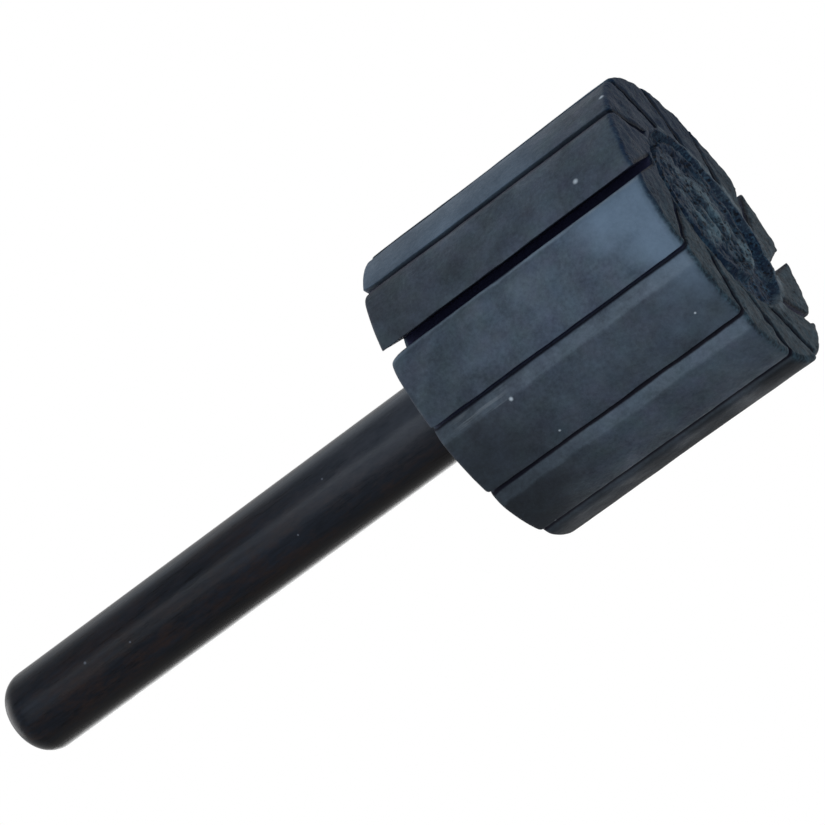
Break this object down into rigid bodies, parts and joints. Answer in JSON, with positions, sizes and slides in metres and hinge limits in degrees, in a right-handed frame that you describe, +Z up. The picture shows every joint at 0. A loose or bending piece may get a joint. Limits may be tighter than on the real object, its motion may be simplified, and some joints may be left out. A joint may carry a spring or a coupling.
{
  "type": "sanding drum",
  "caption": "Slotted rubber sanding drum on a round steel shank; an abrasive sleeve slides over its slanting flaps, which grip it as the drum spins.",
  "frame": {"origin": "on the drum's axis, in the plane of its free end, on which the part stands", "axes": "+Z runs up the axis, from the drum's free end to the tip of the shank; +X and +Y lie in the end plane, and the open slot that shows best in the picture faces -Y and a little +X"},
  "size_m": [0.022, 0.0219, 0.06],
  "materials": {
    "drum_rubber": "matt, mottled slate-grey rubber with fine dust",
    "blackened_steel": "semi-gloss blackened steel"
  },
  "bodies": {
    "root": {"rubber_drum": "drum_rubber", "spindle": "blackened_steel"}
  },
  "joints": []
}
